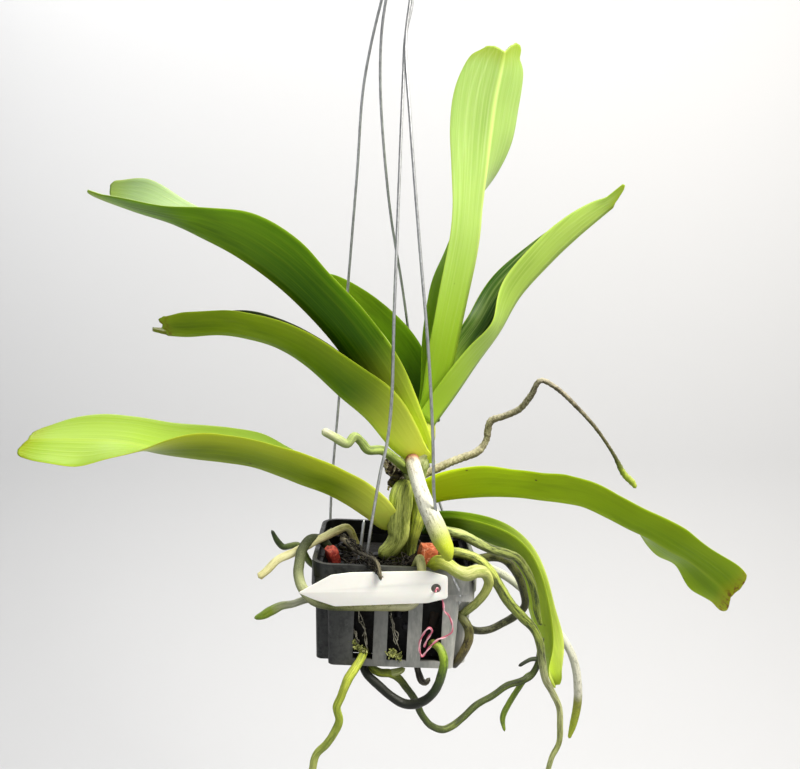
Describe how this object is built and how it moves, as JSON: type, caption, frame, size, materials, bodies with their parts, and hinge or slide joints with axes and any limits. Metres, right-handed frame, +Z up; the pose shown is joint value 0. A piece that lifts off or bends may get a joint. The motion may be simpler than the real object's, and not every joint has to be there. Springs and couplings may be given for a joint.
{
  "type": "potted foxtail orchid in a hanging slotted basket",
  "caption": "Foxtail orchid out of bloom: strap leaves in two ranks, aerial roots through and around a square slotted plastic basket that hangs from wires and a hook.",
  "frame": {"origin": "inside top of the hook's ring, where it bears on what the basket hangs from", "axes": "+Z up along the hanger, +X to the right and +Y away from the viewer when the name tag faces the viewer"},
  "size_m": [0.3128, 0.1354, 0.4926],
  "materials": {
    "leaf": "waxy green leaf with parallel veins and a pale keel",
    "leaf_young": "thin yellow-green leaf that lets light through",
    "stem": "pale green stem with old leaf scars",
    "root_pale": "chalky white velamen, grey mottling",
    "root_green": "velamen with green showing through",
    "root_dark": "wet dark green root",
    "root_scaly": "grey-brown scaly root",
    "root_straw": "dry straw-yellow root",
    "dead_tissue": "shrivelled dark brown, with whitish flecks",
    "basket_plastic": "scuffed charcoal grey",
    "bark": "damp bark and charcoal",
    "brick": "crumbly brick",
    "galvanised_wire": "dull galvanised",
    "tag_plastic": "cream white",
    "tie_plastic": "pink red and white twist"
  },
  "bodies": {
    "root": {"leaf_left_lowest": "leaf", "leaf_left_middle": "leaf", "leaf_left_upper": "leaf", "leaf_left_back": "leaf", "leaf_upright": "leaf_young", "leaf_right_top": "leaf_young", "leaf_right_upper": "leaf", "leaf_right_lowest": "leaf", "stem": "stem", "dead_sheath_scraps": "dead_tissue", "root_thick_front": "root_pale", "root_around_rim": "root_pale", "root_hanging_back": "root_pale", "root_stump_front": "root_green", "root_stump_back": "root_green", "root_cut_left": "root_green", "root_over_rim_right": "root_green", "root_over_lug_right": "root_green", "root_hugging_right": "root_dark", "root_long_right": "root_green", "root_hanging_left": "root_green", "root_short_left": "root_green", "root_under_basket": "root_green", "root_dark_loop_right": "root_dark", "root_loop_front": "root_dark", "root_pointed_left": "root_dark", "root_wiry_right": "root_scaly", "root_straw_left": "root_straw", "dead_root_over_rim": "dead_tissue", "dead_root_under_basket": "dead_tissue", "slotted_basket": "basket_plastic", "growing_medium": "bark", "brick_chip_orange": "brick", "brick_chip_red": "brick", "hanger_wire_back_left": "galvanised_wire", "hanger_wire_back_right": "galvanised_wire", "hanger_wire_front_left": "galvanised_wire", "hanger_wire_front_right": "galvanised_wire", "hanger_collar": "galvanised_wire", "hanger_hook": "galvanised_wire", "name_tag": "tag_plastic", "twist_tie": "tie_plastic"}
  },
  "joints": []
}
